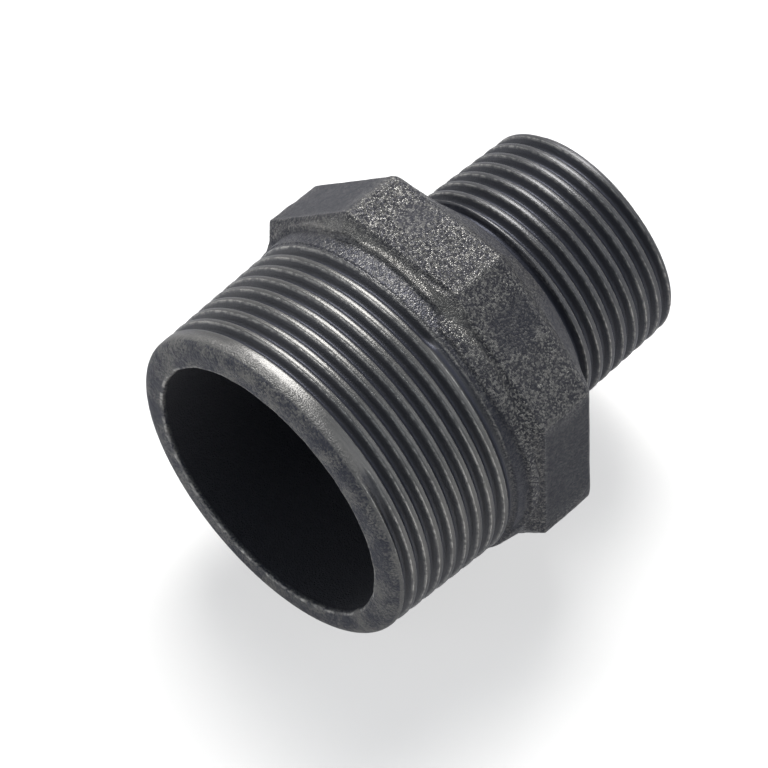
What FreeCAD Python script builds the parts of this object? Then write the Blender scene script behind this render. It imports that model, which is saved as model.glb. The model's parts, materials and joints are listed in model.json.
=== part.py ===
import FreeCAD, Part
import os

import Sketcher
from FreeCAD import Placement, Vector

# Reducing nipple in black malleable cast iron, R 1 1/2 by R 1, for pipework.
# One casting: an eight-sided wrench collar between two outside taper threads, with a
# waterway straight through. Frame in millimetres: the origin is on the axis at the large
# end's face, +X runs along the axis to the small end, and +Z is up, square to one of the
# collar's flats, so the part lies on the opposite flat.

NODE = "nipple_body"

# Driving sizes: alias, value, meaning. Places along the axis are from the large end's face.
SIZES = [
    ("total_length", 60.0, "end face to end face"),
    ("thread_pitch", 2.309, "both threads, 11 to the inch"),
    ("thread_depth", 1.36, "crest to root, crests left flat"),
    ("groove_width", 1.71, "thread groove at the crests"),
    ("root_width", 0.30, "flat at the bottom of the groove"),
    ("groove_lip", 0.15, "how far the cutter stands out of the blank"),
    ("taper", 0.0625, "change of diameter with length, 1 in 16"),
    ("taper_angle", 1.7899, "the same taper, on one side, in degrees"),
    ("big_gauge_diameter", 47.803, "R 1 1/2 over the crests at the gauge plane"),
    ("big_gauge_length", 12.7, "large end to its gauge plane"),
    ("big_face_radius", 22.3, "flat rim of the large end"),
    ("big_lead_length", 1.2, "chamfer where the large thread starts"),
    ("big_thread_end", 21.5, "last of the large thread's cone"),
    ("big_groove_start", -2.628, "cutter's place over the top, before the face"),
    ("big_groove_travel", 23.248, "run of the large thread's groove"),
    ("small_gauge_diameter", 33.249, "R 1 over the crests at the gauge plane"),
    ("small_gauge_length", 10.4, "small end to its gauge plane"),
    ("small_face_radius", 15.5, "flat rim of the small end"),
    ("small_lead_length", 1.1, "chamfer where the small thread starts"),
    ("small_thread_end", 41.0, "last of the small thread's cone"),
    ("small_groove_start", 41.66, "cutter's place over the top"),
    ("small_groove_travel", 20.781, "run of the small thread's groove, past the face"),
    ("neck_end", 23.6, "end of the turned neck behind the large thread"),
    ("neck_radius", 24.35, "the turned neck"),
    ("flare_end", 24.6, "end of the cast flare behind the neck"),
    ("flare_radius", 24.95, "the flare's radius there"),
    ("across_flats", 50.8, "wrench size of the eight-sided collar"),
    ("collar_radius", 27.42, "over the collar's rounded corners"),
    ("collar_start", 26.1, "full corners begin, towards the large end"),
    ("collar_end", 34.1, "full corners end, towards the small end"),
    ("flats_start", 24.0, "where the cut for the flats starts, in the flare"),
    ("flats_end", 37.0, "where it ends, over the cone behind the collar"),
    ("shoulder_start", 35.3, "cast cone behind the collar, widest"),
    ("shoulder_radius", 25.0, "its radius there"),
    ("shoulder_middle", 39.0, "where that cone steepens"),
    ("shoulder_middle_radius", 20.0, "its radius there"),
    ("shoulder_end", 40.8, "where that cone ends"),
    ("shoulder_end_radius", 17.3, "its radius there"),
    ("big_bore_radius", 19.4, "waterway in the large end"),
    ("big_bore_depth", 24.0, "where the large bore starts to narrow"),
    ("small_bore_radius", 13.0, "waterway in the small end"),
    ("small_bore_start", 37.0, "where the small bore starts"),
    ("mouth_bevel", 0.3, "broken edge at each mouth"),
    ("stock_end", 63.5, "bar end that the small thread's cutter still runs in"),
    ("facing_overlap", 0.5, "how far the facing cut runs into the waterway"),
]


def make_sheet(doc):
    """Put every driving size in the sheet, one row each, with its alias."""
    sheet = doc.addObject("Spreadsheet::Sheet", "Sizes")
    for row, (alias, value, meaning) in enumerate(SIZES, start=1):
        sheet.set(f"A{row}", alias.replace("_", " "))
        sheet.set(f"B{row}", str(value))
        sheet.set(f"C{row}", meaning)
        sheet.setAlias(f"B{row}", alias)
    doc.recompute()
    return sheet


def origin_feature(body, role):
    """The body's own origin plane or axis with this role."""
    return next(f for f in body.Origin.OriginFeatures if f.Role == role)


def new_sketch(body, name, plane):
    """A sketch lying on one of the body's origin planes."""
    sketch = body.newObject("Sketcher::SketchObject", name)
    sketch.AttachmentSupport = (origin_feature(body, plane), "")
    sketch.MapMode = "FlatFace"
    return sketch


def outline(sketch, corners):
    """Close a polygon through the corners, each held by two expressions from the origin."""
    places = [
        Vector(float(sketch.evalExpression(across)), float(sketch.evalExpression(up)), 0)
        for across, up in corners
    ]
    count = len(corners)
    for i in range(count):
        sketch.addGeometry(Part.LineSegment(places[i], places[(i + 1) % count]), False)
    for i in range(count):
        sketch.addConstraint(Sketcher.Constraint("Coincident", i, 2, (i + 1) % count, 1))
    for i, (across, up) in enumerate(corners):
        for kind, words, value, axis in (
            ("DistanceX", across, places[i].x, -2),
            ("DistanceY", up, places[i].y, -1),
        ):
            if words == "0":
                sketch.addConstraint(Sketcher.Constraint("PointOnObject", i, 1, axis))
                continue
            number = sketch.addConstraint(
                Sketcher.Constraint(kind, -1, 1, i, 1, value)
            )
            sketch.setExpression(f"Constraints[{number}]", words)


def big_crest(place):
    """Expression for the large thread's crest radius at a place along the axis."""
    return (
        f"Sizes.big_gauge_diameter / 2 - (Sizes.big_gauge_length - ({place}))"
        " * Sizes.taper / 2"
    )


def small_crest(place):
    """Expression for the small thread's crest radius at a place along the axis."""
    return (
        "Sizes.small_gauge_diameter / 2 - (Sizes.small_gauge_length"
        f" - Sizes.total_length + ({place})) * Sizes.taper / 2"
    )


def cut_flats(body):
    """Cut the collar's eight flats: the ring between an octagon and a circle, along the axis."""
    sketch = new_sketch(body, "FlatsOutline", "YZ_Plane")
    sketch.setExpression("AttachmentOffset.Base.z", "Sizes.flats_start")
    flat = "Sizes.across_flats / 2"
    half_side = "Sizes.across_flats / 2 * tan(22.5 deg)"
    corners = []
    for cos_turn, sin_turn in ((1, 0), (0, 1), (-1, 0), (0, -1)):
        # the two corners of the +Y flat, turned by a quarter each time
        for side in (-1, 1):
            across = f"{cos_turn} * {flat} - {sin_turn * side} * {half_side}"
            up = f"{sin_turn} * {flat} + {cos_turn * side} * {half_side}"
            corners.append((across, up))
    outline(sketch, corners)
    radius = float(sketch.evalExpression("Sizes.across_flats"))
    ring = sketch.addGeometry(Part.Circle(Vector(0, 0, 0), Vector(0, 0, 1), radius), False)
    sketch.addConstraint(Sketcher.Constraint("Coincident", ring, 3, -1, 1))
    size = sketch.addConstraint(Sketcher.Constraint("Radius", ring, radius))
    sketch.setExpression(f"Constraints[{size}]", "Sizes.across_flats")
    flats = body.newObject("PartDesign::Pocket", "Flats")
    flats.Profile = sketch
    flats.Reversed = True
    flats.setExpression("Length", "Sizes.flats_end - Sizes.flats_start")
    body.Document.recompute()
    return flats


def add_turned_body(body):
    """Everything round, as one ring turned about the axis: blanks, neck, collar and waterway."""
    sketch = new_sketch(body, "TurnedProfile", "XY_Plane")
    corners = [
        ("0", "Sizes.big_bore_radius + Sizes.mouth_bevel"),
        ("0", "Sizes.big_face_radius"),
        ("Sizes.big_lead_length", big_crest("Sizes.big_lead_length")),
        ("Sizes.big_thread_end", big_crest("Sizes.big_thread_end")),
        ("Sizes.neck_end", "Sizes.neck_radius"),
        ("Sizes.flare_end", "Sizes.flare_radius"),
        ("Sizes.collar_start", "Sizes.collar_radius"),
        ("Sizes.collar_end", "Sizes.collar_radius"),
        ("Sizes.shoulder_start", "Sizes.shoulder_radius"),
        ("Sizes.shoulder_middle", "Sizes.shoulder_middle_radius"),
        ("Sizes.shoulder_end", "Sizes.shoulder_end_radius"),
        ("Sizes.small_thread_end", small_crest("Sizes.small_thread_end")),
        ("Sizes.stock_end", small_crest("Sizes.stock_end")),
        ("Sizes.stock_end", "Sizes.small_bore_radius"),
        ("Sizes.small_bore_start", "Sizes.small_bore_radius"),
        ("Sizes.big_bore_depth", "Sizes.big_bore_radius"),
        ("Sizes.mouth_bevel", "Sizes.big_bore_radius"),
    ]
    outline(sketch, corners)
    turned = body.newObject("PartDesign::Revolution", "TurnedBody")
    turned.Profile = sketch
    turned.ReferenceAxis = (sketch, ["H_Axis"])
    turned.Angle = 360
    body.Document.recompute()
    return turned


def add_thread(body, name, start, travel, crest, angle):
    """Cut one right-hand taper thread: a 55 degree groove carried along a conical helix."""
    sketch = new_sketch(body, f"{name}Groove", "XZ_Plane")
    mouth_half = "(Sizes.groove_width / 2 + Sizes.groove_lip * tan(27.5 deg))"
    root_half = "Sizes.root_width / 2"
    surface = crest(start)
    outline(
        sketch,
        [
            (f"{start} - {mouth_half}", f"{surface} + Sizes.groove_lip"),
            (f"{start} - {root_half}", f"{surface} - Sizes.thread_depth"),
            (f"{start} + {root_half}", f"{surface} - Sizes.thread_depth"),
            (f"{start} + {mouth_half}", f"{surface} + Sizes.groove_lip"),
        ],
    )
    helix = body.newObject("PartDesign::SubtractiveHelix", name)
    helix.Profile = sketch
    helix.ReferenceAxis = (sketch, ["H_Axis"])
    helix.Mode = 0
    helix.LeftHanded = False
    helix.Reversed = False
    helix.setExpression("Pitch", "Sizes.thread_pitch")
    helix.setExpression("Height", travel)
    helix.setExpression("Angle", angle)
    body.Document.recompute()
    return helix


def face_small_end(body):
    """Turn the small end to length, with its thread's lead chamfer and its mouth's bevel."""
    sketch = new_sketch(body, "FacingProfile", "XY_Plane")
    lead = "Sizes.total_length - Sizes.small_lead_length"
    # the chamfer's line goes on as far again past the crests
    over_place = "Sizes.total_length - 2 * Sizes.small_lead_length"
    over_radius = f"2 * ({small_crest(lead)}) - Sizes.small_face_radius"
    inner = "Sizes.small_bore_radius - Sizes.facing_overlap"
    corners = [
        ("Sizes.total_length", "Sizes.small_face_radius"),
        (over_place, over_radius),
        ("Sizes.stock_end + 1", over_radius),
        ("Sizes.stock_end + 1", inner),
        ("Sizes.total_length - Sizes.mouth_bevel - Sizes.facing_overlap", inner),
        ("Sizes.total_length", "Sizes.small_bore_radius + Sizes.mouth_bevel"),
    ]
    outline(sketch, corners)
    facing = body.newObject("PartDesign::Groove", "SmallEndFacing")
    facing.Profile = sketch
    facing.ReferenceAxis = (sketch, ["H_Axis"])
    facing.Angle = 360
    body.Document.recompute()
    return facing


def removed(before, after, least):
    """Stop unless the later feature took at least this volume away."""
    taken = before.Shape.Volume - after.Shape.Volume
    print(f"{after.Name}: took {taken:.0f} cubic mm")
    if taken < least:
        raise RuntimeError(f"{after.Name} removed only {taken:.1f} cubic mm")


def check_objects(doc):
    """Stop if any object of the document failed to recompute."""
    for item in doc.Objects:
        if "Invalid" in item.State or "Error" in item.State:
            raise RuntimeError(f"{item.Name} failed: {item.State}")


def main():
    doc = FreeCAD.newDocument("ReducingNipple")
    make_sheet(doc)
    body = doc.addObject("PartDesign::Body", "NippleBody")
    body.Label = NODE
    body.Placement = Placement()

    turned = add_turned_body(body)
    flats = cut_flats(body)
    removed(turned, flats, 500)
    big = add_thread(
        body, "BigThread", "Sizes.big_groove_start", "Sizes.big_groove_travel",
        big_crest, "Sizes.taper_angle",
    )
    removed(flats, big, 1000)
    small = add_thread(
        body, "SmallThread", "Sizes.small_groove_start", "Sizes.small_groove_travel",
        small_crest, "-Sizes.taper_angle",
    )
    removed(big, small, 700)
    facing = face_small_end(body)
    removed(small, facing, 500)

    doc.recompute()
    check_objects(doc)
    shape = body.Shape
    if shape.isNull() or not shape.isValid() or len(shape.Solids) != 1:
        raise RuntimeError(f"{NODE} is not one valid solid")
    solid = shape.Solids[0]
    box = solid.optimalBoundingBox(True)
    middle = solid.CenterOfMass
    print(f"{NODE}: volume {solid.Volume:.0f}, faces {len(solid.Faces)}")
    print(f"X {box.XMin:.2f} {box.XMax:.2f} Y {box.YMin:.2f} {box.YMax:.2f}")
    print(f"Z {box.ZMin:.2f} {box.ZMax:.2f}, middle {middle.x:.2f} {middle.y:.2f} {middle.z:.2f}")
    os.makedirs("parts", exist_ok=True)
    solid.exportStep(f"parts/{body.Label}.step")


main()
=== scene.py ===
import json
import math

import bpy
import numpy as np
from mathutils import Matrix, Vector


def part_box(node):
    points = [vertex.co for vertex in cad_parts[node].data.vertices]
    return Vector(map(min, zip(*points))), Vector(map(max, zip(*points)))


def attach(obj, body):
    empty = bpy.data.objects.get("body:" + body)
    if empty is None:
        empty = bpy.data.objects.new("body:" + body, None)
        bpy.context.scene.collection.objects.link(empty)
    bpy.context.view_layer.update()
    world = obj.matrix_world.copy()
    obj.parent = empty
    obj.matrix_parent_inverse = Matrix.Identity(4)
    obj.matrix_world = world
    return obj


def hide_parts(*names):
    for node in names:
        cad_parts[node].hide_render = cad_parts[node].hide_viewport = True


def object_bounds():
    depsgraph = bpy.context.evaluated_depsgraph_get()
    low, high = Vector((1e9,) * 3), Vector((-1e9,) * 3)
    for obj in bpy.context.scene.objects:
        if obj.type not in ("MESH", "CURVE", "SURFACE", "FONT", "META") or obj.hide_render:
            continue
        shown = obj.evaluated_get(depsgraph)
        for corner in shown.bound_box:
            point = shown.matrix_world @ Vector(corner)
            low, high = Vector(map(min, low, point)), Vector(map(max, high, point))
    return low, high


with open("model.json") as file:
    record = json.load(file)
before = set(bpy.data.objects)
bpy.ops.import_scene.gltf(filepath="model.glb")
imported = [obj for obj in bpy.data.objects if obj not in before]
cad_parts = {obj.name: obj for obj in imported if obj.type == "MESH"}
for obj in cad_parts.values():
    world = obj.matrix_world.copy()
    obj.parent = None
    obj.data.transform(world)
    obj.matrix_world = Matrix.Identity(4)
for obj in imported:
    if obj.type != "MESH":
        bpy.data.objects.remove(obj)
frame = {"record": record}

# The looks of a reducing pipe nipple: one black iron casting with an eight-sided collar
# between two cut threads, laid on one of its flats on a pale table.
# Metres throughout. X runs along the axis from the large end to the small end, Z is up,
# and angles go round the axis from +Y towards +Z.

bl_info = {
    "name": "Reducing Nipple",
    "version": (1, 0, 0),
    "blender": (4, 5, 0),
    "location": "View3D > Sidebar > Nipple",
    "description": "Builds the casting of a threaded reducing nipple and its table",
    "category": "Add Mesh",
}

CAD_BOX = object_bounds()
NODE = "nipple_body"
MM = 0.001
MOUNTS = {mount["name"]: mount for mount in frame["record"]["mounts"]}
LENGTH = float(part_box(NODE)[1][0])


def mount_radius(name):
    """The radius that the record gives for a round mount, in metres."""
    return MOUNTS[name]["dims"]["r_mm"] * MM


def mount_place(name):
    """How far along the axis a mount lies, in metres."""
    return MOUNTS[name]["pos_m"][0]


# ---------------------------------------------------------------- properties


class NippleThreadSizes(bpy.types.PropertyGroup):
    pitch: bpy.props.FloatProperty(
        name="Pitch", description="Thread pitch, 11 turns to the inch",
        default=2.309 * MM, unit="LENGTH", precision=6)
    taper: bpy.props.FloatProperty(
        name="Taper", description="Change of radius with length, 1 in 32",
        default=1 / 32, precision=5)
    depth: bpy.props.FloatProperty(
        name="Depth", description="Crest to root",
        default=1.12 * MM, unit="LENGTH", precision=6)
    crest_width: bpy.props.FloatProperty(
        name="Crest Width", description="Worn flat on top of each turn",
        default=0.66 * MM, unit="LENGTH", precision=6)
    flank_angle: bpy.props.FloatProperty(
        name="Flank Angle", description="Slope of a flank from square to the axis",
        default=math.radians(27.5), subtype="ANGLE")
    big_groove_at: bpy.props.FloatProperty(
        name="Large Thread Phase", description="Place of a groove's middle at angle zero",
        default=1.243 * MM, unit="LENGTH", precision=6)
    big_first: bpy.props.FloatProperty(
        name="Large Thread Start", description="Turned angle at which the groove begins",
        default=math.radians(128), subtype="ANGLE", max=100)
    big_last: bpy.props.FloatProperty(
        name="Large Thread End", description="Turned angle at which the groove stops short",
        default=math.radians(360 * 8 + 112), subtype="ANGLE", max=100)
    small_groove_at: bpy.props.FloatProperty(
        name="Small Thread Phase", description="Place of a groove's middle at angle zero",
        default=40.61 * MM, unit="LENGTH", precision=6)


class NippleCollarSizes(bpy.types.PropertyGroup):
    front: bpy.props.FloatProperty(
        name="Front Edge", description="Flats' edge towards the large end",
        default=25.9 * MM, unit="LENGTH", precision=6)
    back: bpy.props.FloatProperty(
        name="Back Edge", description="Flats' edge towards the small end",
        default=34.2 * MM, unit="LENGTH", precision=6)
    corner_radius: bpy.props.FloatProperty(
        name="Over Corners", description="Radius out to the collar's sharp corners",
        default=27.45 * MM, unit="LENGTH", precision=6)
    crispness: bpy.props.FloatProperty(
        name="Crispness", description="Power that rounds the corners; more is sharper",
        default=170.0, min=20.0, max=400.0)


class NippleFinish(bpy.types.PropertyGroup):
    cast_dark: bpy.props.FloatVectorProperty(
        name="Cast, Hollows", description="Cast skin in its hollows",
        subtype="COLOR", default=(0.042, 0.042, 0.048), min=0, max=1)
    # also the colour of the painted highlight along the top of the flare's ring
    cast_light: bpy.props.FloatVectorProperty(
        name="Cast, Grains", description="Cast skin on its rubbed grains",
        subtype="COLOR", default=(0.172, 0.168, 0.160), min=0, max=1)
    # also laid on the low side of the neck as painted shade
    cast_smooth: bpy.props.FloatVectorProperty(
        name="Cast, Smooth", description="Blued skin on the smooth flats and the cone",
        subtype="COLOR", default=(0.017, 0.018, 0.025), min=0, max=1)
    cut_dark: bpy.props.FloatVectorProperty(
        name="Cut, Grooves", description="Oiled thread grooves",
        subtype="COLOR", default=(0.038, 0.040, 0.052), min=0, max=1)
    cut_worn: bpy.props.FloatVectorProperty(
        name="Cut, Crests", description="Dulled metal on the crests and the rim",
        subtype="COLOR", default=(0.150, 0.147, 0.140), min=0, max=1)
    # painted light: this colour lightens the flanks that face the large end, in place of the light
    # that falls on them
    cut_flank_light: bpy.props.FloatVectorProperty(
        name="Cut, Flanks", description="Scraped flanks that face the large end",
        subtype="COLOR", default=(0.165, 0.162, 0.154), min=0, max=1)
    # partly painted highlight: the crests' edges and the mouth's edge take this bright colour, for
    # rubbed metal and for the light that those edges catch
    cut_bare_glint: bpy.props.FloatVectorProperty(
        name="Cut, Edges", description="Bare metal on the crests' rubbed edges",
        subtype="COLOR", default=(0.42, 0.41, 0.39), min=0, max=1)
    bore: bpy.props.FloatVectorProperty(
        name="Waterway", description="Scaled inside of the waterway",
        subtype="COLOR", default=(0.036, 0.036, 0.041), min=0, max=1)


class NippleStage(bpy.types.PropertyGroup):
    floor: bpy.props.FloatVectorProperty(
        name="Floor", description="Colour of the table, which its own light makes pale",
        subtype="COLOR", default=(0.22, 0.22, 0.22), min=0, max=1)
    azimuth: bpy.props.FloatProperty(
        name="Azimuth", description="Camera's direction round the part, from -Y",
        default=math.radians(-43.55), subtype="ANGLE")
    elevation: bpy.props.FloatProperty(
        name="Elevation", description="Camera's height above the horizon",
        default=math.radians(53.05), subtype="ANGLE")
    roll: bpy.props.FloatProperty(
        name="Roll", description="Camera's lean about its own line of sight",
        default=math.radians(-2.055), subtype="ANGLE")
    distance: bpy.props.FloatProperty(
        name="Distance", description="Camera to the point that it looks at",
        default=0.82983, unit="LENGTH")
    lens: bpy.props.FloatProperty(
        name="Lens", description="Focal length in millimetres on a 36 mm sensor",
        default=296.26)
    aim: bpy.props.FloatVectorProperty(
        name="Aim", description="Point that the camera looks at",
        subtype="TRANSLATION", default=(0.02388, 0.00236, -0.00188))


# ------------------------------------------------------------------ surfaces

FULL_TURN = 2 * math.pi
COLUMNS = 262
# points of the mesh that lie closer together than this are one point
WELD_DISTANCE = 2e-7
# the collar's corners, in degrees: a hand-made pattern, not quite evenly spaced
CORNERS = np.radians([23.5, 68.3, 109.5, 155.5, 203.0, 247.5, 292.5, 337.5])
CORNER_RISE = np.array([0.0, 0.35, 0.05, 0.0, 0.0, 0.0, 0.0, 0.0]) * MM
# fall of the collar's front faces, over the length that they fall in
FRONT_SLOPE = 1.0812

# roundings of the thread's form at crest and root
CREST_ROUND = 0.30 * MM
ROOT_ROUND = 0.35 * MM
# the large end's lead: a quarter of an ellipse between the flat face and the crests
LEAD_LENGTH = 1.6 * MM
LEAD_FOOT = 21.4 * MM
LEAD_RISE = 2.14 * MM
# stretches of the two threads along the axis
BIG_THREAD = (1.0 * MM, 21.5 * MM)
SMALL_THREAD = (40.8 * MM, LENGTH)
# turned angles past the end of the large groove: it fades out at once, and a shallow
# scratch carries on, deepens and fades out in its turn
GROOVE_FADES = (0.0, math.radians(8))
SCRATCH_DEEPENS = (math.radians(14), math.radians(30))
SCRATCH_FADES = (math.radians(200), math.radians(240))
# how far either groove turns while it comes up to its full depth
BIG_LEAD_IN = math.radians(25)
SMALL_LEAD_IN = math.radians(20)
# crest radius of the small thread at the foot of its chamfer, and the chamfer's slope
CHAMFER_FOOT = 15.45 * MM
CHAMFER_SLOPE = 0.80

# Outlines below are in millimetres, with angles in degrees.
# where the turned neck meets the cast flare: angle, place along the axis
NECK_LINE = [(0, 23.6), (30, 24.1), (60, 24.2), (100, 24.0), (110, 23.8), (114, 22.2),
             (130, 22.3), (150, 22.7), (165, 23.3), (190, 23.7), (197, 23.2), (200, 20.9),
             (235, 20.7), (260, 21.6), (300, 22.8), (360, 23.6)]
# the cast flare, a low round ring and a hollow before the flats: place, radius
FLARE_LINE = [(20.0, 24.50), (21.0, 24.62), (22.5, 24.78), (23.6, 25.02), (24.3, 25.16),
              (24.8, 25.10), (25.4, 24.80), (26.5, 24.6), (45.0, 24.6)]
# the cone behind the flats: place, radius
CONE_LINE = [(34.0, 25.45), (34.9, 24.75), (36.9, 22.45), (38.9, 20.0), (39.9, 18.65),
             (40.55, 17.55), (40.8, 17.2), (41.6, 16.9)]
# the large mouth's edge: place, rise above the bore, how chipped, how rubbed (its bright
# colour is rubbed metal with a painted highlight), inside or not
MOUTH_EDGE = [(0.75, 0.0, 0.5, 0.0, 1.0), (0.35, 0.03, 0.5, 0.0, 0.0), (0.12, 0.12, 0.5, 0.9, 0.0),
              (0.02, 0.30, 0.5, 0.9, 0.0), (0.0, 0.55, 0.3, 0.0, 0.0)]
# rows on the flat face, by radius, and on the lead, by place
FACE_RADII = (20.4, 20.8, 21.2)
LEAD_PLACES = (0.01, 0.05, 0.12, 0.22, 0.36, 0.52, 0.70, 0.88)
# rows of neck, flare, collar and cone, closer where the outline turns
COLLAR_PLACES = np.concatenate([
    np.arange(21.62, 25.0, 0.16), [25.0, 25.2, 25.4, 25.55, 25.7, 25.82, 25.94, 26.08, 26.25],
    np.linspace(26.6, 33.6, 17), [33.85, 34.0, 34.12, 34.25, 34.4, 34.6, 34.85, 35.2],
    np.linspace(35.6, 39.6, 9), [40.0, 40.3, 40.55, 40.75]])
# smooth places on the flats: strength, middle place and angle, half length and half angle
SMOOTH_FLATS = [(0.38, 31.3, 83.0, 3.0, 5.5), (0.60, 30.8, 127.0, 4.2, 8.0),
                (0.85, 31.0, 45.9, 9.0, 25.5), (0.85, 31.0, 179.0, 9.0, 27.0)]
# inner radius of the small face, and its mouth: depth below the face, rise above the bore
SMALL_FACE_RADIUS = 14.3
SMALL_MOUTH = [(0.0, 0.35), (0.08, 0.16), (0.3, 0.0)]
# the waterway from the small end: places in the small bore, the step's places and radii,
# and places in the large bore
SMALL_BORE_PLACES = (56.0, 50.0, 44.0, 38.5)
BORE_STEP = [(37.0, 13.05), (35.8, 13.5), (33.0, 14.95), (29.5, 16.7), (26.0, 18.4),
             (24.5, 19.1), (23.3, 19.38)]
BIG_BORE_PLACES = (20.0, 15.0, 10.0, 6.0, 3.0, 1.5)


def smoothstep(low, high, value):
    """0 below low, 1 above high, and the usual cubic between them."""
    part = np.clip((value - low) / (high - low), 0.0, 1.0)
    return part * part * (3.0 - 2.0 * part)


def bell(value, middle, width):
    """1 at the middle, falling away on both sides as e to the minus square of the distance
    over the width."""
    return np.exp(-(((value - middle) / width) ** 2))


def stretch(value, low, low_full, high_full, high):
    """0 outside low and high, 1 between the two full places, and smooth between."""
    return smoothstep(low, low_full, value) * (1.0 - smoothstep(high_full, high, value))


def smooth_max(first, second, width):
    """The larger of two surfaces, with their meeting line filled over this width."""
    part = np.clip(0.5 + 0.5 * (first - second) / width, 0.0, 1.0)
    return second + (first - second) * part + width * part * (1.0 - part)


def smooth_min(first, second, width):
    """The smaller of two surfaces, with their meeting line rounded over this width."""
    return -smooth_max(-first, -second, width)


def along_line(value, line):
    """Straight stretches through an outline's points."""
    places, heights = np.transpose(line)
    return np.interp(value, places, heights)


def ripple(x, y, z, wavelength, seed, waves=14):
    """Smooth seeded unevenness between about -1 and 1: a sum of plane waves whose lengths
    lie round the given one and whose directions are spread over the sphere."""
    random = np.random.default_rng(seed)
    total = np.zeros_like(x)
    for _ in range(waves):
        direction = random.normal(size=3)
        direction /= np.linalg.norm(direction)
        turn = FULL_TURN / (wavelength * random.uniform(0.7, 1.5))
        along = direction[0] * x + direction[1] * y + direction[2] * z
        total += np.sin(turn * along + random.uniform(0, FULL_TURN))
    return total / math.sqrt(waves)


def on_circle(x, angle, radius):
    """Points at this place along the axis, angle and radius."""
    return x, radius * np.cos(angle), radius * np.sin(angle)


def column_angles():
    """Angles of the mesh's columns: evenly spread, and several times closer near each of
    the collar's corners, by inverting the running sum of that density."""
    fine = np.linspace(0.0, FULL_TURN, 20001)
    density = np.ones_like(fine)
    for corner in CORNERS:
        density += 5.0 * bell(fine, corner, math.radians(1.3))
    running = np.concatenate([[0.0], np.cumsum(0.5 * (density[1:] + density[:-1]))])
    return np.interp(np.linspace(0.0, running[-1], COLUMNS + 1), running, fine)


def octagon_factor(angle, collar):
    """Radius of the eight-sided outline, over the radius of its corners. Each side is the
    chord between two corners, and a high power mean of the sides rounds the corners."""
    reach = collar.corner_radius + CORNER_RISE
    across, height = reach * np.cos(CORNERS), reach * np.sin(CORNERS)
    step_across, step_height = np.roll(across, -1) - across, np.roll(height, -1) - height
    total = np.zeros_like(angle)
    for y, z, dy, dz in zip(across, height, step_across, step_height):
        inward = (y * dz - z * dy) / collar.corner_radius
        share = (np.cos(angle) * dz - np.sin(angle) * dy) / inward
        total += np.maximum(share, 1e-6) ** collar.crispness
    return total ** (-1.0 / collar.crispness)


def groove_half_width(threads):
    """From a groove's middle to the edge of its crest, along the axis."""
    return (threads.pitch - threads.crest_width) / 2


def groove_cut(x, angle, threads, groove_at):
    """Depth of one helical groove below the crests, the offset from its middle, and the
    angle turned along it. The middle moves one pitch along the axis for each turn, and the
    section is a V with flanks at the flank angle, flat at crest and root."""
    turns = (x - groove_at) / threads.pitch - angle / FULL_TURN
    nearest = np.round(turns)
    offset = (turns - nearest) * threads.pitch
    flank = (groove_half_width(threads) - np.abs(offset)) / math.tan(threads.flank_angle)
    cut = smooth_min(smooth_max(flank, np.zeros_like(flank), CREST_ROUND),
                     np.full_like(flank, threads.depth), ROOT_ROUND)
    return np.maximum(cut, 0.0), offset, angle + nearest * FULL_TURN


def big_crest(x, threads):
    """Crest radius of the large thread: its gauge radius, tapering with the axis."""
    return mount_radius("large_thread") + (x - mount_place("large_thread")) * threads.taper


def small_crest(x, threads):
    """Crest radius of the small thread, tapering towards the small end."""
    return mount_radius("small_thread") + (mount_place("small_thread") - x) * threads.taper


def neck_line(angle):
    """Place along the axis where the lathe's neck stops against the casting: the listed
    line, with a few sines of small height that make it ragged."""
    line = along_line(np.degrees(angle) % 360, NECK_LINE)
    jag = 0.10 * np.sin(9 * angle + 1.0) + 0.07 * np.sin(31 * angle) + 0.05 * np.sin(67 * angle)
    return (line + jag) * MM


def big_surface(x, angle, threads):
    """Radius of the large thread's blank less its groove, the groove's depth and the offset
    from its middle. The groove stops short, and a shallow scratch carries on from there."""
    blank = big_crest(x, threads)
    along = 1.0 - np.clip(x / LEAD_LENGTH, 0.0, 1.0)
    lead = LEAD_FOOT + LEAD_RISE * np.sqrt(1.0 - along ** 2)
    blank = np.where(x < LEAD_LENGTH, np.minimum(blank, lead), blank)
    cut, offset, turned = groove_cut(x, angle, threads, threads.big_groove_at)
    begins = smoothstep(threads.big_first, threads.big_first + BIG_LEAD_IN, turned)
    past = turned - threads.big_last
    groove = 1.0 - smoothstep(*GROOVE_FADES, past)
    scratch = 0.26 + 0.24 * smoothstep(*SCRATCH_DEEPENS, past)
    scratch = scratch * (1.0 - smoothstep(*SCRATCH_FADES, past))
    cut = cut * begins * np.maximum(groove, scratch)
    return blank - cut, cut, offset


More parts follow.
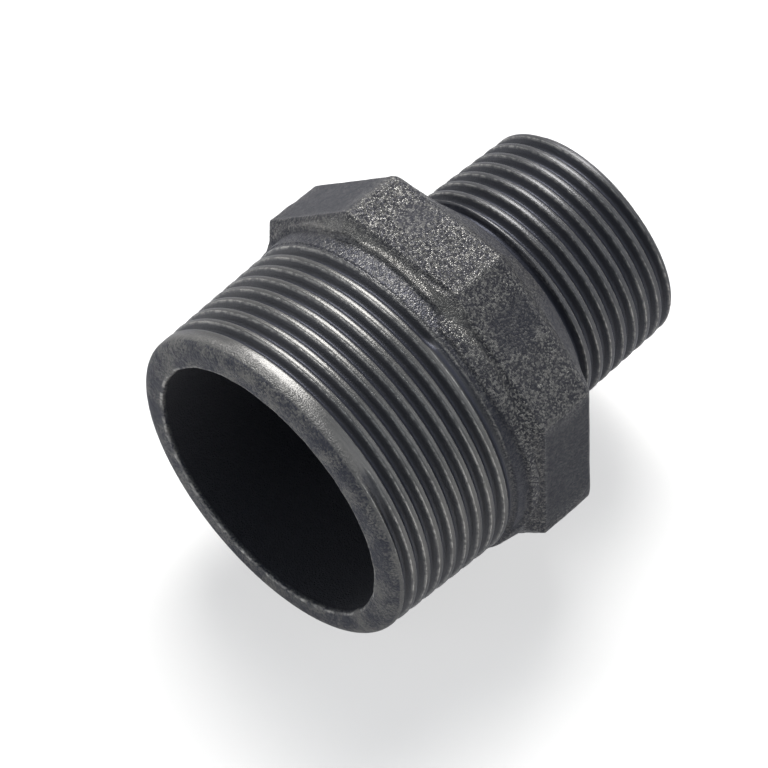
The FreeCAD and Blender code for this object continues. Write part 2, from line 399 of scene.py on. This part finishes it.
def collar_surface(x, angle, threads, collar):
    """Radius between the two threads, as turned neck, cast flare, eight-sided collar and
    cone, and a mask that is 1 on cast skin and 0 on turned metal."""
    factor = octagon_factor(angle, collar)
    apothem = collar.corner_radius * math.cos(math.pi / len(CORNERS))
    place = x / MM
    # the turned neck carries on the large thread's cone, a little higher
    neck = big_crest(x, threads) + 0.14 * MM * smoothstep(21.25, 21.45, place)
    flare = along_line(place, FLARE_LINE) * MM
    cast = smoothstep(-0.12 * MM, 0.12 * MM, x - neck_line(angle))
    round_part = neck + (np.maximum(flare, neck) - neck) * cast
    # the flats are crowned a little along the axis, and fall away in front of their edge
    slope = np.maximum(collar.front - x, 0.0) * FRONT_SLOPE
    along = np.clip((x - collar.front) / (collar.back - collar.front), 0, 1)
    flats = (collar.corner_radius - slope + 0.05 * MM * np.sin(along * math.pi)) * factor
    front = smooth_max(round_part, np.where(cast > 0.02, flats, 0.0), 0.30 * MM)
    # behind the flats the cone runs down to the small thread, its corners dying away
    cone = along_line(place, CONE_LINE) * MM
    corner_left = 1.0 - smoothstep(34.6, 39.0, place)
    rear = cone * (1.0 + (factor * collar.corner_radius / apothem - 1.0) * corner_left)
    radius = np.where(x < (collar.front + collar.back) / 2, front,
                      smooth_min(front, rear, 0.30 * MM))
    return radius, cast


def small_surface(x, angle, threads):
    """Radius of the small thread's blank less its groove, with the end's chamfer and a
    relief all round where the thread meets the cone."""
    chamfer = CHAMFER_FOOT + (LENGTH - x) * CHAMFER_SLOPE
    blank = smooth_min(small_crest(x, threads), chamfer, 0.12 * MM)
    cut, offset, turned = groove_cut(x, angle, threads, threads.small_groove_at)
    begins = smoothstep(0.0, SMALL_LEAD_IN, turned)
    relief = stretch(x / MM, 40.75, 41.15, 41.9, 42.35)
    cut = np.maximum(cut * begins, relief * threads.depth * 0.85)
    return blank - cut, cut, offset


def thread_wear(cut, offset, threads):
    """Masks of a thread's marks: its rubbed crest, the flank that faces the large end, which
    carries painted light, and the thin edges between crest and flanks, rubbed metal that
    carries a painted highlight."""
    crest = 1.0 - smoothstep(0.03 * MM, 0.25 * MM, cut)
    flank = smoothstep(0.0, 0.30 * MM, offset) * (1.0 - crest)
    flank = flank * smoothstep(0.03 * MM, 0.20 * MM, cut)
    edge = bell(np.abs(offset), groove_half_width(threads), 0.055 * MM)
    return crest, flank, edge * smoothstep(0.0, 0.02 * MM, cut)


def thread_rows(low, high, groove_at, threads, angle):
    """Places of a thread's rows: each follows the helix, at fixed shares of the pitch that
    fall on crest, crest edges, flanks and root, and stops at the ends of its stretch."""
    shares = np.array([-0.5, -0.405, -0.362, -0.335, -0.27, -0.17, -0.085, 0.0,
                       0.085, 0.17, 0.27, 0.335, 0.362, 0.405])
    first = math.floor((low - groove_at) / threads.pitch) - 1
    last = math.ceil((high - groove_at) / threads.pitch) + 1
    steps = (np.arange(first, last)[:, None] + shares[None, :]).ravel()
    rows = groove_at + threads.pitch * (steps[:, None] + angle[None, :] / FULL_TURN)
    return np.clip(rows, low, high)


def soft_patch(place, degrees, middle_place, middle_angle, half_length, half_angle):
    """1 inside a soft-edged rectangle on the surface, 0 outside it."""
    across = 1.0 - smoothstep(0.6, 1.0, np.abs(place - middle_place) / half_length)
    around = 1.0 - smoothstep(0.6, 1.0, np.abs(degrees - middle_angle) / half_angle)
    return across * around


# ------------------------------------------------------------------- casting


class Casting:
    """Rows of the closed surface, each with its place, radius and masks for the finish."""

    MASKS = ("cut", "crest", "flank", "edge", "rim", "inside", "smooth", "wear")

    def __init__(self, angle):
        self.angle = angle
        self.turn = angle[None, :]
        self.parts = []

    def level(self, places):
        """Rows at fixed places along the axis, in millimetres."""
        return np.repeat(np.array(places)[:, None] * MM, len(self.angle), axis=1)

    def add(self, x, radius, **masks):
        named = dict.fromkeys(self.MASKS, 0.0)
        named.update(masks)
        shape = np.broadcast(x, self.turn).shape
        layers = [np.broadcast_to(value, shape) for value in (x, radius, *named.values())]
        self.parts.append(np.array(layers, dtype=float))

    def stacked(self):
        return np.concatenate(self.parts, axis=1)


def add_large_face(casting, threads):
    """The large mouth's chipped edge, the flat face and the rounded lead."""
    angle, bore = casting.angle, mount_radius("large_bore")
    chips = 0.10 * np.sin(23 * angle) + 0.07 * np.sin(41 * angle + 2) + 0.05 * np.sin(97 * angle)
    # how bright the mouth's edge is painted round the turn: rubbed metal and a painted highlight
    rubbed = np.clip(0.55 + 4.0 * chips, 0.0, 1.0)
    for place, rise, chipped, worn, inside in MOUTH_EDGE:
        casting.add(casting.level([place]), bore + (rise + chips[None, :] * chipped) * MM,
                    cut=1.0, rim=1.0, edge=worn * rubbed[None, :], inside=inside)
    for radius in FACE_RADII:
        casting.add(casting.level([0.0]), radius * MM, cut=1.0, rim=1.0)
    rows = casting.level(LEAD_PLACES)
    radius, _, _ = big_surface(rows, casting.turn, threads)
    casting.add(rows, radius, cut=1.0, rim=1.0)


def add_large_thread(casting, threads, collar):
    """The large thread, whose last rows pass into the turned neck and the cast flare. The
    far crest of the last groove carries a bright line of its own."""
    rows = thread_rows(*BIG_THREAD, threads.big_groove_at, threads, casting.angle)
    place = rows / MM
    radius, cut, offset = big_surface(rows, casting.turn, threads)
    beyond, cast = collar_surface(rows, casting.turn, threads, collar)
    past = smoothstep(20.9, 21.4, place)
    step_up = np.maximum(beyond - radius, 0.0) * past * cast
    crest, flank, crest_edge = thread_wear(cut, offset, threads)
    last_line = bell(offset, 0.98 * MM, 0.14 * MM) * smoothstep(20.5, 20.9, place)
    crest = np.maximum(crest * (1.0 - smoothstep(20.1, 20.7, place)), last_line)
    crest_edge = np.maximum(crest_edge, 0.55 * last_line)
    # the flank mask lightens the flanks as painted light; the edge mask is rubbed metal with a
    # painted highlight
    casting.add(rows, radius + step_up, cut=1.0 - past * np.maximum(cast, 0.6),
                crest=crest, flank=0.45 * flank,
                edge=crest_edge * smoothstep(0.9, 1.4, place),
                rim=1.0 - smoothstep(1.5, 2.6, place))


def add_collar(casting, threads, collar):
    """Neck, flare, flats and cone: the outline, then the casting's swells, smooth places and
    one dent, with painted shade on the neck's low side, then the places where the skin is
    rubbed, with a painted highlight along the top of the flare's ring."""
    degrees = np.degrees(casting.turn)
    rows = casting.level(COLLAR_PLACES)
    place = rows / MM
    radius, cast = collar_surface(rows, casting.turn, threads, collar)

    smooth = np.zeros_like(rows)
    for strength, *patch in SMOOTH_FLATS:
        smooth = np.maximum(smooth, strength * soft_patch(place, degrees, *patch))
    smooth = smooth * smoothstep(25.5, 26.5, place)
    dent = bell(place, 25.75, 0.33) * stretch(degrees, 97, 99, 107, 110)
    points = on_circle(rows, casting.turn, radius)
    swell = (ripple(*points, 6.0 * MM, seed=3) * 0.045
             + ripple(*points, 2.4 * MM, seed=4) * 0.035)
    swell = swell * smoothstep(0.2, 0.6, cast) * (1.0 - 0.7 * smooth)
    radius = radius + (swell - 0.10 * smooth - 0.5 * dent) * MM
    # nothing reaches below the flat that the part rests on
    radius = np.minimum(radius, -float(CAD_BOX[0][2]) / np.maximum(-np.sin(casting.turn), 0.5))

    # painted highlight: the flare's low ring is painted lighter only round its top, where the
    # light from above falls
    ridge = bell(place, 24.6, 0.75) * stretch(degrees, 35, 60, 112, 135)
    arris = sum(bell(casting.turn, corner, math.radians(0.7)) for corner in CORNERS)
    arris = arris * stretch(place, 25.7, 26.2, 34.0, 34.5)
    streak = soft_patch(place, degrees, 33.0, 132.5, 0.45, 3.0)
    # rubbed corners, a lighter streak on one flat, and the painted highlight on the flare's ring
    wear = np.clip(ridge * 0.8 + arris * 0.35 + streak * 0.9, 0.0, 1.0)
    cone = 0.7 * smoothstep(35.3, 36.5, place)
    cone = cone * (1.0 - 0.6 * soft_patch(place, degrees, 38.0, 118.0, 4.0, 12.0))
    # painted shade: the low side of the neck takes the dark smooth skin, darker than the grains
    # round it
    low_neck_shade = 0.6 * soft_patch(place, degrees, 21.0, 180.0, 2.6, 48.0)
    casting.add(rows, radius, cut=0.4 * (1.0 - cast), wear=wear,
                smooth=np.maximum(smooth, np.maximum(cone, low_neck_shade)))


def add_small_thread(casting, threads):
    """The small thread, the face at its end and the broken edge of its mouth."""
    rows = thread_rows(*SMALL_THREAD, threads.small_groove_at, threads, casting.angle)
    radius, cut, offset = small_surface(rows, casting.turn, threads)
    crest, flank, crest_edge = thread_wear(cut, offset, threads)
    shown = smoothstep(41.9, 42.3, rows / MM)
    # the flank mask lightens the flanks as painted light; the edge mask is rubbed metal with a
    # painted highlight
    casting.add(rows, radius, cut=1.0, crest=0.6 * crest * shown, flank=0.25 * flank * shown,
                edge=0.85 * crest_edge * shown)
    rim, inner = radius[-1:, :], SMALL_FACE_RADIUS * MM
    for share in (0.3, 0.65, 1.0):
        casting.add(casting.level([LENGTH / MM]), rim + (inner - rim) * share, cut=1.0, rim=1.0)
    for drop, rise in SMALL_MOUTH:
        casting.add(casting.level([LENGTH / MM - drop]), mount_radius("small_bore") + rise * MM,
                    cut=1.0, rim=1.0)


def add_waterway(casting):
    """The waterway, from the small end back to the large mouth."""
    line = [(place, mount_radius("small_bore")) for place in SMALL_BORE_PLACES]
    line += [(place, radius * MM) for place, radius in BORE_STEP]
    line += [(place, mount_radius("large_bore")) for place in BIG_BORE_PLACES]
    for place, radius in line:
        casting.add(casting.level([place]), radius, inside=1.0)


def closed_mesh(name, casting):
    """Join the rows into one closed surface. Rows and columns both close on themselves, and
    points that fall together, where a thread's rows end or the last column meets the first,
    are welded. Each cell gives two triangles, and a triangle that lost a corner is left out.
    Faces point outwards, where the volume that they enclose is positive."""
    layers = casting.stacked()
    x, radius = layers[0], layers[1]
    points = np.stack(on_circle(x, casting.turn, radius), axis=-1)
    flat = points.reshape(-1, 3)
    keys = np.round(flat / WELD_DISTANCE).astype(np.int64)
    _, first, welded = np.unique(keys, axis=0, return_index=True, return_inverse=True)
    welded = welded.reshape(x.shape)

    a, b = welded[:, :-1], welded[:, 1:]
    c, d = np.roll(b, -1, axis=0), np.roll(a, -1, axis=0)
    corners = np.concatenate([
        np.stack([a, b, c], axis=-1).reshape(-1, 3), np.stack([a, c, d], axis=-1).reshape(-1, 3)])
    whole = ((corners[:, 0] != corners[:, 1]) & (corners[:, 1] != corners[:, 2])
             & (corners[:, 2] != corners[:, 0]))
    corners = corners[whole]
    kept = flat[first]
    volume = np.einsum("ij,ij->i", kept[corners[:, 0]],
                       np.cross(kept[corners[:, 1]], kept[corners[:, 2]])).sum()
    if volume < 0:
        corners = corners[:, ::-1]

    mesh = bpy.data.meshes.new(name)
    mesh.vertices.add(len(kept))
    mesh.vertices.foreach_set("co", kept.astype(np.float32).ravel())
    mesh.loops.add(corners.size)
    mesh.loops.foreach_set("vertex_index", corners.astype(np.int32).ravel())
    mesh.polygons.add(len(corners))
    mesh.polygons.foreach_set("loop_start", np.arange(0, corners.size, 3, dtype=np.int32))
    mesh.update(calc_edges=True)
    mesh.polygons.foreach_set("use_smooth", np.ones(len(corners), dtype=bool))
    for mask, layer in zip(casting.MASKS, layers[2:]):
        values = layer.ravel()[first].astype(np.float32)
        mesh.attributes.new(mask, "FLOAT", "POINT").data.foreach_set("value", values)
    mesh.validate(verbose=False)
    return mesh


# ----------------------------------------------------------------- materials


class Nodes:
    """Short calls for building a material's node tree."""

    def __init__(self, name):
        self.material = bpy.data.materials.new(name)
        self.material.use_nodes = True
        self.tree = self.material.node_tree
        self.shader = self.tree.nodes["Principled BSDF"]
        self.place = self.add("ShaderNodeTexCoord").outputs["Object"]

    def add(self, kind, **settings):
        node = self.tree.nodes.new(kind)
        for key, value in settings.items():
            setattr(node, key, value)
        return node

    def link(self, source, target):
        self.tree.links.new(source, target)

    def put(self, target, value):
        if isinstance(value, bpy.types.NodeSocket):
            self.link(value, target)
        elif hasattr(value, "__len__") and len(value) == 3 and len(target.default_value) == 4:
            target.default_value = (*value, 1.0)
        else:
            target.default_value = value

    def math(self, operation, first, second=0.0, clamp=False):
        node = self.add("ShaderNodeMath", operation=operation, use_clamp=clamp)
        self.put(node.inputs[0], first)
        self.put(node.inputs[1], second)
        return node.outputs[0]

    def mix(self, factor, first, second):
        """Two colours mixed by a factor."""
        node = self.add("ShaderNodeMix", data_type="RGBA")
        self.put(node.inputs["Factor"], factor)
        self.put(node.inputs[6], first)
        self.put(node.inputs[7], second)
        return node.outputs[2]

    def blend(self, factor, first, second):
        """Two numbers mixed by a factor."""
        node = self.add("ShaderNodeMix", data_type="FLOAT")
        self.put(node.inputs[0], factor)
        self.put(node.inputs[2], first)
        self.put(node.inputs[3], second)
        return node.outputs[0]

    def ramp(self, value, low, high):
        """0 below low and 1 above high, smoothly."""
        node = self.add("ShaderNodeMapRange", interpolation_type="SMOOTHSTEP")
        self.put(node.inputs["Value"], value)
        self.put(node.inputs["From Min"], low)
        self.put(node.inputs["From Max"], high)
        return node.outputs[0]

    def attribute(self, name):
        return self.add("ShaderNodeAttribute", attribute_name=name).outputs["Fac"]

    def stretched(self, along, around):
        """The object's coordinates scaled along the axis and across it."""
        node = self.add("ShaderNodeMapping")
        self.link(self.place, node.inputs["Vector"])
        node.inputs["Scale"].default_value = (along, around, around)
        return node.outputs["Vector"]

    def noise(self, vector, scale, detail=2.0, roughness=0.5):
        node = self.add("ShaderNodeTexNoise")
        self.link(vector, node.inputs["Vector"])
        node.inputs["Scale"].default_value = scale
        node.inputs["Detail"].default_value = detail
        node.inputs["Roughness"].default_value = roughness
        return node.outputs["Fac"]

    def grains(self, vector, scale):
        """Packed grains: height of each one's dome, and a shade of its own."""
        node = self.add("ShaderNodeTexVoronoi")
        self.link(vector, node.inputs["Vector"])
        node.inputs["Scale"].default_value = scale
        split = self.add("ShaderNodeSeparateColor")
        self.link(node.outputs["Color"], split.inputs["Color"])
        dome = self.math("SUBTRACT", 1.0, node.outputs["Distance"], clamp=True)
        return dome, split.outputs["Red"]

    def bump(self, height, distance, strength=1.0, normal=None):
        node = self.add("ShaderNodeBump")
        self.link(height, node.inputs["Height"])
        node.inputs["Distance"].default_value = distance
        node.inputs["Strength"].default_value = strength
        if normal is not None:
            self.link(normal, node.inputs["Normal"])
        return node.outputs["Normal"]


# sizes of the finish's patterns, in cells or waves to the metre; pairs are along the axis
# and across it
GRAIN_SCALE = 4100.0
LUMP_SCALE = 850.0
CLOUD_SCALE = 260.0
LATHE_LINES = (5200.0, 260.0)
SPARKLES = (3000.0, 1300.0)
# heights of the relief, in metres
GRAIN_HEIGHT = 0.00022
LINE_HEIGHT = 0.00004


class IronPatterns:
    """The masks and patterns that the finishes of the iron share."""

    def __init__(self, n):
        self.mask = {name: n.attribute(name) for name in Casting.MASKS}
        self.dome, self.shade = n.grains(n.place, GRAIN_SCALE)
        self.lumps = n.noise(n.place, LUMP_SCALE, detail=1.0)
        self.clouds = n.noise(n.place, CLOUD_SCALE, detail=3.0)
        self.lines = n.noise(n.stretched(*LATHE_LINES), 1.0, detail=3.0, roughness=0.6)


def cast_skin(n, finish, patterns):
    """Colour, metal and roughness of the cast skin: sand grains about a quarter of a
    millimetre across, each with a shade of its own, in soft clouds; blued where smooth."""
    smooth, shade = patterns.mask["smooth"], patterns.shade
    patchy = n.math("MULTIPLY", n.math("SUBTRACT", patterns.clouds, 0.5), 0.18)
    speck = n.ramp(n.math("ADD", shade, patchy), 0.30, 1.0)
    grainy = n.math("SUBTRACT", 1.0, n.math("MULTIPLY", smooth, 0.85))
    # the grains are lightened by real wear and by the painted highlight on the flare's ring
    rubbed = n.math("MULTIPLY", patterns.mask["wear"], 0.8)
    light = n.math("MULTIPLY", n.math("ADD", speck, rubbed), grainy, clamp=True)
    colour = n.mix(light, finish.cast_dark, finish.cast_light)
    blued = n.math("MULTIPLY", smooth, n.blend(shade, 1.0, 0.45))
    colour = n.mix(blued, colour, finish.cast_smooth)
    metal = n.math("SUBTRACT", grainy, 0.35, clamp=True)
    rough = n.blend(smooth, n.blend(light, 0.42, 0.27), 0.75)
    return colour, metal, rough


def cut_metal(n, finish, patterns):
    """Colour, metal and roughness of turned metal: lathe lines round the axis, darkest in
    the grooves, dull on the crests and mottled on the rim; painted light on the flanks that
    face the large end, and rubbed metal with a painted highlight on the crests' edges."""
    rim, shade = patterns.mask["rim"], patterns.shade
    scratched = n.blend(patterns.lines, 0.45, 1.0)
    sparkle = n.ramp(n.noise(n.stretched(*SPARKLES), 1.0, detail=2.0), 0.38, 0.62)
    mottle = n.ramp(n.math("ADD", patterns.clouds, n.math("MULTIPLY", shade, 0.35)), 0.48, 0.95)
    rubbed = n.math("MULTIPLY", patterns.mask["crest"], scratched, clamp=True)
    rubbed = n.math("MAXIMUM", rubbed, n.math("MULTIPLY", rim, n.blend(mottle, 0.05, 1.0)))
    # rubbed metal and a painted highlight along the crests' edges and the mouth's edge, broken
    # into sparkles
    bare_and_glint = n.math("MULTIPLY", patterns.mask["edge"], n.blend(sparkle, 0.20, 1.0))
    colour = n.mix(rubbed, finish.cut_dark, finish.cut_worn)
    # painted light: the flanks that face the large end take a lighter colour in place of the light
    # that falls on them
    lit_flank = n.math("MULTIPLY", patterns.mask["flank"], scratched)
    colour = n.mix(lit_flank, colour, finish.cut_flank_light)
    colour = n.mix(bare_and_glint, colour, finish.cut_bare_glint)
    metal = n.math("MAXIMUM", n.blend(rubbed, 0.50, n.blend(rim, 0.85, 0.55)), bare_and_glint)
    oiled, worn = n.blend(rim, 0.42, 0.52), n.blend(rim, 0.30, 0.50)
    rough = n.blend(bare_and_glint, n.blend(rubbed, oiled, worn), 0.25)
    return colour, metal, rough


def iron_relief(n, patterns):
    """The surface's small relief: each grain is a low dome, highest on the cast skin and
    faint on the rim and the threads, with the lathe's lines over it on cut metal."""
    cut, rim = patterns.mask["cut"], patterns.mask["rim"]
    grain = n.math("ADD", n.math("MULTIPLY", patterns.dome, 0.55),
                   n.math("MULTIPLY", patterns.shade, 0.45))
    lumps = n.math("MULTIPLY", patterns.lumps, n.blend(rim, 0.6, 1.4))
    skin = n.math("SUBTRACT", 1.0, n.math("MULTIPLY", patterns.mask["smooth"], 0.45))
    turned = n.math("ADD", n.math("MULTIPLY", rim, 0.60), 0.12)
    height = n.math("MULTIPLY", n.math("ADD", grain, lumps), n.blend(cut, skin, turned))
    grains = n.bump(height, GRAIN_HEIGHT)
    return n.bump(n.math("MULTIPLY", patterns.lines, cut), LINE_HEIGHT, 0.6, grains)


def iron_material(finish):
    """Black iron: a grainy cast skin, oiled cut grooves, rubbed crests and a scaled bore."""
    n = Nodes("black_iron")
    patterns = IronPatterns(n)
    cut, inside = patterns.mask["cut"], patterns.mask["inside"]
    cast_colour, cast_metal, cast_rough = cast_skin(n, finish, patterns)
    turned_colour, turned_metal, turned_rough = cut_metal(n, finish, patterns)
    colour = n.mix(inside, n.mix(cut, cast_colour, turned_colour), finish.bore)
    outside = n.math("SUBTRACT", 1.0, inside)
    metal = n.math("MULTIPLY", n.blend(cut, cast_metal, turned_metal), outside)
    rough = n.blend(inside, n.blend(cut, cast_rough, turned_rough), 0.9)
    n.link(colour, n.shader.inputs["Base Color"])
    n.link(metal, n.shader.inputs["Metallic"])
    n.link(rough, n.shader.inputs["Roughness"])
    n.link(iron_relief(n, patterns), n.shader.inputs["Normal"])
    n.shader.inputs["Specular IOR Level"].default_value = 0.30
    n.shader.inputs["Specular Tint"].default_value = (0.40, 0.41, 0.45, 1.0)
    return n.material


def floor_material(colour):
    """A pale matt table, very slightly mottled."""
    n = Nodes("pale_table")
    mottle = n.noise(n.place, 6.0, detail=2.0)
    dim = tuple(0.985 * part for part in colour)
    n.link(n.mix(mottle, dim, tuple(colour)), n.shader.inputs["Base Color"])
    n.shader.inputs["Roughness"].default_value = 0.9
    n.shader.inputs["Specular IOR Level"].default_value = 0.0
    return n.material


# ----------------------------------------------------------------- operators


class NIPPLE_OT_body(bpy.types.Operator):
    """Build the casting: both threads, the collar, the neck, the cone and the waterway"""

    bl_idname = "nipple.body"
    bl_label = "Build Casting"

    def execute(self, context):
        scene = context.scene
        threads, collar = scene.nipple_threads, scene.nipple_collar
        casting = Casting(column_angles())
        add_large_face(casting, threads)
        add_large_thread(casting, threads, collar)
        add_collar(casting, threads, collar)
        add_small_thread(casting, threads)
        add_waterway(casting)
        mesh = closed_mesh("nipple_casting", casting)
        piece = bpy.data.objects.new("nipple_casting", mesh)
        scene.collection.objects.link(piece)
        mesh.materials.append(iron_material(scene.nipple_finish))
        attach(piece, "root")
        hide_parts(NODE)
        return {"FINISHED"}


# soft lights: name, direction from the part, distance, side, power in watts, colour
SOFTBOXES = [
    ("back_top", (0.41, 0.42, 0.81), 1.1, 0.72, 25.0, (1.0, 0.985, 0.955)),
    ("side", (-0.84, 0.36, 0.36), 1.2, 0.50, 2.8, (1.0, 1.0, 1.0)),
    ("front_fill", (0.45, -0.75, 0.50), 1.3, 1.20, 5.0, (1.0, 1.0, 1.0)),
]
SKY_COLOUR = (0.78, 0.88, 1.0, 1.0)
SKY_STRENGTH = 0.32
TABLE_WASH = 8.8
# the table lies this far below the part, so that the two faces don't fall together
TABLE_GAP = 0.03 * MM
SENSOR_WIDTH = 36.0


def add_softbox(scene, name, direction, distance, side, power, colour):
    """A square area light that faces the part from this direction."""
    light = bpy.data.lights.new(name, "AREA")
    light.shape = "SQUARE"
    light.size = side
    light.energy = power
    light.color = colour
    lamp = bpy.data.objects.new(name, light)
    scene.collection.objects.link(lamp)
    away = Vector(direction).normalized()
    lamp.location = Vector((LENGTH / 2, 0, 0)) + away * distance
    lamp.rotation_mode = "QUATERNION"
    lamp.rotation_quaternion = away.to_track_quat("Z", "Y")


class NIPPLE_OT_stage(bpy.types.Operator):
    """Lay the pale table, hang the soft lights and set the camera"""

    bl_idname = "nipple.stage"
    bl_label = "Set Stage"

    def execute(self, context):
        scene = context.scene
        stage = scene.nipple_stage
        table = self.lay_table(scene, stage)
        self.hang_lights(scene, table)
        self.set_camera(scene, stage)
        return {"FINISHED"}

    def lay_table(self, scene, stage):
        """A flat table whose far side curves up in a quarter circle: a profile that runs
        away from the camera, carried across to both sides."""
        reach, bend, half_width, heading = 1.6, 0.8, 3.0, 0.7
        rise = np.linspace(0, math.pi / 2, 24)
        along = np.repeat(np.concatenate([[-reach], reach + bend * np.sin(rise)]), 2)
        height = np.repeat(np.concatenate([[0.0], bend * (1 - np.cos(rise))]), 2)
        across = np.tile([-half_width, half_width], len(along) // 2)
        base = float(CAD_BOX[0][2]) - TABLE_GAP
        points = np.stack([(along - across) * heading, (along + across) * heading,
                           height + base], axis=-1)
        faces = [(i, i + 2, i + 3, i + 1) for i in range(0, len(along) - 2, 2)]
        mesh = bpy.data.meshes.new("table")
        mesh.from_pydata(points.tolist(), [], faces)
        mesh.polygons.foreach_set("use_smooth", np.ones(len(faces), dtype=bool))
        table = bpy.data.objects.new("table", mesh)
        scene.collection.objects.link(table)
        mesh.materials.append(floor_material(stage.floor))
        return table

    def hang_lights(self, scene, table):
        """A sky, a softbox above and behind, two weak ones at the side and in front, and a
        wash that lights only the table, so that the part's shadow stays faint."""
        world = bpy.data.worlds.new("studio")
        world.use_nodes = True
        backdrop = world.node_tree.nodes["Background"]
        backdrop.inputs["Color"].default_value = SKY_COLOUR
        backdrop.inputs["Strength"].default_value = SKY_STRENGTH
        scene.world = world
        for softbox in SOFTBOXES:
            add_softbox(scene, *softbox)
        only_table = bpy.data.collections.new("table_only")
        only_table.objects.link(table)
        wash = bpy.data.lights.new("table_wash", "SUN")
        wash.energy = TABLE_WASH
        lamp = bpy.data.objects.new("table_wash", wash)
        scene.collection.objects.link(lamp)
        lamp.light_linking.receiver_collection = only_table
        lamp.light_linking.blocker_collection = only_table

    def set_camera(self, scene, stage):
        """Stand the camera off its aim by azimuth, elevation and distance, then roll it."""
        level = math.cos(stage.elevation)
        back = Vector((math.sin(stage.azimuth) * level, -math.cos(stage.azimuth) * level,
                       math.sin(stage.elevation)))
        right = Vector((0, 0, 1)).cross(back).normalized()
        up = back.cross(right)
        turned = Matrix((right, up, back)).transposed()
        turned = turned @ Matrix.Rotation(stage.roll, 3, "Z")
        data = bpy.data.cameras.new("camera")
        data.lens, data.sensor_width = stage.lens, SENSOR_WIDTH
        data.clip_start, data.clip_end = 0.05, 20.0
        camera = bpy.data.objects.new("camera", data)
        scene.collection.objects.link(camera)
        placed = turned.to_4x4()
        placed.translation = Vector(stage.aim) + back * stage.distance
        camera.matrix_world = placed
        bpy.context.scene.camera = camera
        scene.view_settings.view_transform = "Standard"


class NIPPLE_PT_panel(bpy.types.Panel):
    """Sizes, finish and stage of the nipple"""

    bl_idname = "NIPPLE_PT_panel"
    bl_label = "Reducing Nipple"
    bl_space_type = "VIEW_3D"
    bl_region_type = "UI"
    bl_category = "Nipple"

    def draw(self, context):
        scene = context.scene
        for owner in (scene.nipple_threads, scene.nipple_collar, scene.nipple_finish,
                      scene.nipple_stage):
            column = self.layout.column(align=True)
            for name in owner.__annotations__:
                column.prop(owner, name)
        for operator in OPERATORS:
            self.layout.operator(operator.bl_idname)


GROUPS = {
    "nipple_threads": NippleThreadSizes,
    "nipple_collar": NippleCollarSizes,
    "nipple_finish": NippleFinish,
    "nipple_stage": NippleStage,
}
OPERATORS = (NIPPLE_OT_body, NIPPLE_OT_stage)


def register():
    for name, group in GROUPS.items():
        bpy.utils.register_class(group)
        setattr(bpy.types.Scene, name, bpy.props.PointerProperty(type=group))
    for operator in OPERATORS:
        bpy.utils.register_class(operator)
    bpy.utils.register_class(NIPPLE_PT_panel)


def unregister():
    bpy.utils.unregister_class(NIPPLE_PT_panel)
    for operator in reversed(OPERATORS):
        bpy.utils.unregister_class(operator)
    for name, group in GROUPS.items():
        delattr(bpy.types.Scene, name)
        bpy.utils.unregister_class(group)


def main():
    register()
    bpy.ops.nipple.body()
    bpy.ops.nipple.stage()


if __name__ == "__main__":
    main()
